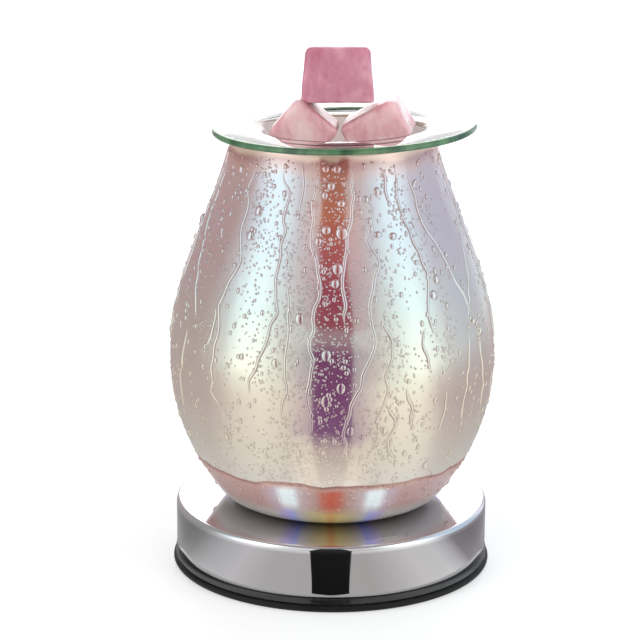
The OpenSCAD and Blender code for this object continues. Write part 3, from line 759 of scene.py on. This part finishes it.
drops = bmesh.new()
for forms, roundness in ((lentils, 3), (beads, 2), (pinheads, 1)):
    add_drops(drops, forms, roundness)
bmesh.ops.recalc_face_normals(drops, faces=drops.faces)
make_piece(drops, "shade_raindrops", PEARL, "shade", crease=80)


# ------------------------------------------------------------------ glass dish
# Sheet glass slumped over a mould: flat flange, ground round edge, deep well with a flat bottom. It
# lies loose on the shade's mouth, a little off centre and not quite level.

dish_low, dish_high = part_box("wax_dish")
DISH_HALF = 1.2 * MM
DISH_R = 49.8 * MM
DISH_TILT = math.radians(1.5)
DISH_NOD = math.radians(-0.3)
DISH_Z = 171.5 * MM
WELL_DEPTH = 15.5 * MM
WELL = [(36 * MM, 0), (26 * MM, 0), (31.5 * MM, -WELL_DEPTH), (14 * MM, -WELL_DEPTH)]
WELL_STEPS = 30
RIM_SEGMENTS = 16
# The edge looks clear further in than this, and fully green further out than that
CLEAR_WITHIN = 2.7 * MM
GREEN_BEYOND = 1.5 * MM


def edge_green_glass(centre, radius):
    """Clear soda glass, green where one looks in at its edge; light passes it without a caustic"""
    finish, tree, clear = new_finish("edge_green_glass", {
        "Base Color": (0.96, 0.985, 0.97, 1), "Transmission Weight": 1.0, "IOR": 1.25})
    tree.links.new(ranged(tree, cloud(tree, 60), 0.0, 0.02), clear.inputs["Roughness"])
    relief(tree, clear, cloud(tree, 25, detail=1), 0.00012)
    where = add(tree, "TexCoord")
    centred = add(tree, "Mapping", {"Location": (-centre.x, -centre.y, 0), "Scale": (1, 1, 0)})
    tree.links.new(where.outputs["Object"], centred.inputs["Vector"])
    away = add(tree, "VectorMath", operation="LENGTH")
    tree.links.new(centred.outputs["Vector"], away.inputs[0])
    at_edge = ranged(tree, away.outputs["Value"], 0, 1, radius - CLEAR_WITHIN, radius - GREEN_BEYOND)
    green = add(tree, "BsdfPrincipled", {"Roughness": 0.12, "IOR": 1.5, "Transmission Weight": 0.25})
    tree.links.new(ramp(tree, cloud(tree, 90, stretch=(1, 1, 0)), [
        (0.35, 0.03, 0.10, 0.05), (0.65, 0.16, 0.34, 0.16)]), green.inputs["Base Color"])
    glass = blended(tree, at_edge, clear.outputs["BSDF"], green.outputs["BSDF"])
    light = add(tree, "LightPath")
    through = add(tree, "BsdfTransparent", {"Color": (0.93, 0.97, 0.95, 1)})
    show(tree, blended(tree, light.outputs["Is Shadow Ray"], glass, through.outputs["BSDF"]))
    return finish


upper = [beside(WELL, i / WELL_STEPS, DISH_HALF) for i in range(WELL_STEPS + 1)]
lower = [beside(WELL, i / WELL_STEPS, -DISH_HALF) for i in range(WELL_STEPS + 1)]
rim = arc((DISH_R - DISH_HALF, 0), DISH_HALF, -90, 90, RIM_SEGMENTS)
dish = turned([(0, DISH_HALF - WELL_DEPTH), *reversed(upper), *reversed(rim), *lower,
               (0, -DISH_HALF - WELL_DEPTH)], closed=False, steps=GLASS_TURN_STEPS)
dish_middle = (dish_low + dish_high) / 2
dish_place = (Matrix.Translation((dish_middle.x, dish_middle.y, DISH_Z))
              @ Matrix.Rotation(-DISH_TILT, 4, "Y") @ Matrix.Rotation(DISH_NOD, 4, "X"))
bmesh.ops.transform(dish, matrix=dish_place, verts=dish.verts)
make_piece(dish, "glass_dish", edge_green_glass(dish_middle, DISH_R), "dish", ["wax_dish"], crease=80)


# ------------------------------------------------------------------ wax blocks
# Cast in a tray mould, snapped apart and dropped in the dish: sharp at the open end, rounder where
# the mould was, faintly streaked, with light going a little way in.

WAX_VOXEL = 0.55 * MM
WAX_DENT = 0.5 * MM
# Features in a metre of the wax's broad waves and of its small dents
WAX_WAVES = 120
WAX_PITS = 420


def scented_wax(name, pale, deep, rosy):
    """Dyed wax: pale and deep streaks on a rosy ground, with light going a little way in"""
    finish, tree, shader = new_finish(name, {
        "Subsurface Weight": 0.55, "Subsurface Scale": 0.004,
        "Subsurface Radius": (1.0, 0.45, 0.5), "IOR": 1.43, "Coat Weight": 0.15,
        "Coat Roughness": 0.2})
    streaks = cloud(tree, 62, detail=6, stretch=(1.7, 1.7, 1), roughness=0.62)
    tree.links.new(ramp(tree, streaks, [(0.3, *deep), (0.5, *rosy), (0.68, *pale)]),
                   shader.inputs["Base Color"])
    tree.links.new(ranged(tree, cloud(tree, 180), 0.22, 0.45), shader.inputs["Roughness"])
    relief(tree, shader, cloud(tree, 260, detail=4), 0.0002)
    return finish


def wax_from(node, name, finish, body):
    """The block's CAD shape, closed up, softened and made slightly uneven by hand casting"""
    source = bmesh.new()
    source.from_mesh(frame["nodes"][node].data)
    bmesh.ops.remove_doubles(source, verts=source.verts, dist=1e-5)
    bmesh.ops.recalc_face_normals(source, faces=source.faces)
    holder = new_object(source, "block")
    remesh = holder.modifiers.new("even", "REMESH")
    remesh.mode = "VOXEL"
    remesh.voxel_size = WAX_VOXEL
    soften = holder.modifiers.new("soften", "SMOOTH")
    soften.iterations = 5
    fine = bpy.data.meshes.new_from_object(holder.evaluated_get(bpy.context.evaluated_depsgraph_get()))
    bpy.data.objects.remove(holder)
    bm = bmesh.new()
    bm.from_mesh(fine)
    bm.normal_update()
    for v in bm.verts:
        dent = noise.noise(v.co * WAX_WAVES) * 0.5 + noise.noise(v.co * WAX_PITS) * 0.2 + 0.35
        v.co -= v.normal * max(0, dent) * WAX_DENT
    make_piece(bm, name, finish, body, [node], crease=80)


ROSE = scented_wax("rose_wax", (0.74, 0.40, 0.46), (0.50, 0.17, 0.24), (0.60, 0.25, 0.33))
BLUSH = scented_wax("blush_wax", (0.93, 0.74, 0.73), (0.68, 0.28, 0.34), (0.86, 0.55, 0.57))
wax_from("wax_melt_top", "wax_block_top", ROSE, "top_melt")
wax_from("wax_melt_left", "wax_block_left", BLUSH, "left_melt")
wax_from("wax_melt_right", "wax_block_right", BLUSH, "right_melt")


# ------------------------------------------------------------------ studio
# Pale floor in a white room. A wide ring round the lamp and a card on the floor glow more or less
# by turn, as soft lights on both sides would, with a dark gap in front; the camera sees only floor
# and room, and none of this is part of the lamp.

GLOW_TOP = 3.0
SURROUND_R = 3.0
SURROUND_TOP = 4.5
SURROUND_STEPS = 96
FLOOR_HALF = 6
FLOOR_CARD_R = 0.063
FLOOR_CARD_Z = 0.0004
# Distance from the lamp over which the floor's brightness gives way to that of the ring
FLOOR_FADE = (0.26, 0.75)
# The dark gap on the floor and up the ring: half its width, the place in front, the height
GAP = [(0.0082, -0.0630, 0.0008), (0.78, -2.9, 0.0008), (0.66, -2.9, 1.6), (0.52, -2.9, SURROUND_TOP)]
# Brightness round the lamp, far off and then on the floor: degrees from the front, red, green, blue
ROUND_ABOUT = [
    (-180, 3.0, 3.0, 3.0), (-166, 2.8, 2.8, 2.8), (-156, 0.50, 0.46, 0.46), (-140, 0.44, 0.40, 0.40),
    (-104, 0.38, 0.40, 0.38), (-93, 0.55, 0.60, 0.60), (-80, 1.1, 1.2, 1.25), (-68, 1.95, 2.0, 2.0),
    (-54, 2.0, 2.0, 2.0), (-44, 1.45, 1.5, 1.5), (-34, 1.0, 1.05, 1.05), (-19, 0.85, 0.88, 0.85),
    (19, 0.76, 0.74, 0.72), (30, 0.82, 0.80, 0.80), (40, 1.05, 1.15, 1.15), (52, 1.6, 1.7, 1.7),
    (63, 2.0, 2.05, 2.05), (76, 1.5, 1.6, 1.65), (88, 0.85, 0.95, 1.05), (108, 0.62, 0.80, 0.95),
    (130, 0.62, 0.74, 0.88), (146, 1.1, 1.15, 1.25), (157, 0.6, 0.6, 0.62), (166, 2.8, 2.8, 2.8),
    (180, 3.0, 3.0, 3.0)]
ON_THE_FLOOR = [
    (-180, 0.42, 0.40, 0.42), (-92, 0.42, 0.42, 0.42), (-80, 0.56, 0.56, 0.56), (-63, 1.05, 1.08, 1.08),
    (-45, 1.35, 1.35, 1.35), (-28, 1.08, 1.08, 1.05), (18, 1.02, 1.02, 0.98), (26, 1.15, 1.15, 1.12),
    (42, 1.5, 1.5, 1.47), (58, 1.45, 1.5, 1.48), (67, 1.1, 1.1, 1.15), (75, 0.54, 0.52, 0.56),
    (92, 0.42, 0.40, 0.44), (180, 0.42, 0.40, 0.42)]


def glow_ramp(tree, turn, stops):
    """A colour ramp over the whole turn round the lamp, scaled to fit its range"""
    return ramp(tree, turn, [((degrees + 180) / 360, *(shade / GLOW_TOP for shade in colour))
                             for degrees, *colour in stops])


def surround_glow():
    """Brightness that changes round the lamp, one way far off and another on the floor close by"""
    finish = bpy.data.materials.new("surround_glow")
    finish.use_nodes = True
    tree = finish.node_tree
    tree.nodes.remove(tree.nodes["Principled BSDF"])
    where = own_xyz(tree)
    turn = ranged(tree, turn_of(tree, where), 0, 1, -math.pi, math.pi)
    level = add(tree, "CombineXYZ")
    tree.links.new(where.outputs["X"], level.inputs["X"])
    tree.links.new(where.outputs["Y"], level.inputs["Y"])
    away = add(tree, "VectorMath", operation="LENGTH")
    tree.links.new(level.outputs["Vector"], away.inputs[0])
    colour = mixed(tree, ranged(tree, away.outputs["Value"], 0, 1, *FLOOR_FADE),
                   glow_ramp(tree, turn, ON_THE_FLOOR), glow_ramp(tree, turn, ROUND_ABOUT))
    light = add(tree, "Emission", {"Strength": GLOW_TOP})
    tree.links.new(colour, light.inputs["Color"])
    show(tree, light.outputs["Emission"])
    return finish


def stage_card(name, bm, finish, lights=False):
    """A card that the camera doesn't see: it shows in reflections, and lights the lamp if asked"""
    card = new_object(bm, name, finish)
    card.visible_camera = False
    card.visible_transmission = False
    card.visible_shadow = False
    card.visible_diffuse = lights


def surround(name, corners, finish, lights):
    """A card spun once round the lamp from two corners, each a radius and a height"""
    bm = bmesh.new()
    ends = [bm.verts.new((radius, 0, height)) for radius, height in corners]
    edge = bm.edges.new(ends)
    bmesh.ops.spin(bm, geom=[*ends, edge], cent=(0, 0, 0), axis=(0, 0, 1), steps=SURROUND_STEPS,
                   angle=2 * math.pi, use_merge=True)
    stage_card(name, bm, finish, lights)


def dark_gap():
    """The gap between the soft lights and its band on the floor, which widens as it goes out"""
    black, _, _ = new_finish("black_card", {
        "Base Color": (0.03, 0.03, 0.03, 1), "Roughness": 1.0, "Specular IOR Level": 0.0})
    bm = bmesh.new()
    left = [bm.verts.new((-half, y, z)) for half, y, z in GAP]
    right = [bm.verts.new(place) for place in GAP]
    for i in range(len(GAP) - 1):
        bm.faces.new((left[i], right[i], right[i + 1], left[i + 1]))
    stage_card("dark_gap", bm, black)


def pale_floor():
    """A wide matt floor with a faint glow, so that it stays pale far from the lamp"""
    finish, tree, shader = new_finish("pale_floor", {
        "Roughness": 0.7, "Emission Color": (1, 1, 1, 1), "Emission Strength": 0.5})
    tree.links.new(ramp(tree, cloud(tree, 3), [(0.3, 0.52, 0.52, 0.52), (0.7, 0.54, 0.54, 0.54)]),
                   shader.inputs["Base Color"])
    bm = bmesh.new()
    bmesh.ops.create_grid(bm, x_segments=1, y_segments=1, size=FLOOR_HALF)
    new_object(bm, "floor", finish)


def white_room():
    """White to look at, a little less so as a light, and grey in reflections"""
    world = bpy.data.worlds.new("room")
    bpy.context.scene.world = world
    world.use_nodes = True
    tree = world.node_tree
    path = add(tree, "LightPath")
    tone = add(tree, "MixRGB", {"Color1": (1, 1, 1, 1), "Color2": (0.36, 0.34, 0.36, 1)})
    tree.links.new(path.outputs["Is Glossy Ray"], tone.inputs["Fac"])
    softer = add(tree, "MixRGB", {"Color2": (0.8, 0.8, 0.8, 1)})
    tree.links.new(path.outputs["Is Diffuse Ray"], softer.inputs["Fac"])
    tree.links.new(tone.outputs["Color"], softer.inputs["Color1"])
    tree.links.new(softer.outputs["Color"], tree.nodes["Background"].inputs["Color"])


GLOW = surround_glow()
pale_floor()
white_room()
surround("bright_surround", [(SURROUND_R, 0), (SURROUND_R, SURROUND_TOP)], GLOW, lights=True)
surround("floor_surround", [(FLOOR_CARD_R, FLOOR_CARD_Z), (SURROUND_R, FLOOR_CARD_Z)], GLOW,
         lights=False)
dark_gap()


# ------------------------------------------------------------------ camera
# A long lens a little above the lamp, looking slightly down at its front.

CAMERA_AT = Vector((0, -0.9354, 0.3556))
LOOK_DOWN = math.radians(15.54)
LOOK_LEFT = math.radians(0.289)
LEAN = math.radians(0.30)
FOCAL_LENGTH = 142.7
FRAME_WIDTH = 36
# Light has to pass the shade, the dish and the lamp's glass, front and back
LIGHT_BOUNCES = 24
lens = bpy.data.cameras.new("camera")
lens.lens = FOCAL_LENGTH
lens.sensor_width = FRAME_WIDTH
camera = bpy.data.objects.new("camera", lens)
bpy.context.scene.collection.objects.link(camera)
aim = (Matrix.Rotation(LOOK_LEFT, 4, "Z") @ Matrix.Rotation(math.pi / 2 - LOOK_DOWN, 4, "X")
       @ Matrix.Rotation(LEAN, 4, "Z"))
camera.matrix_world = Matrix.Translation(CAMERA_AT) @ aim
bpy.context.scene.camera = camera
bpy.context.scene.view_settings.view_transform = "Standard"
bpy.context.scene.cycles.max_bounces = LIGHT_BOUNCES
bpy.context.scene.cycles.transmission_bounces = LIGHT_BOUNCES
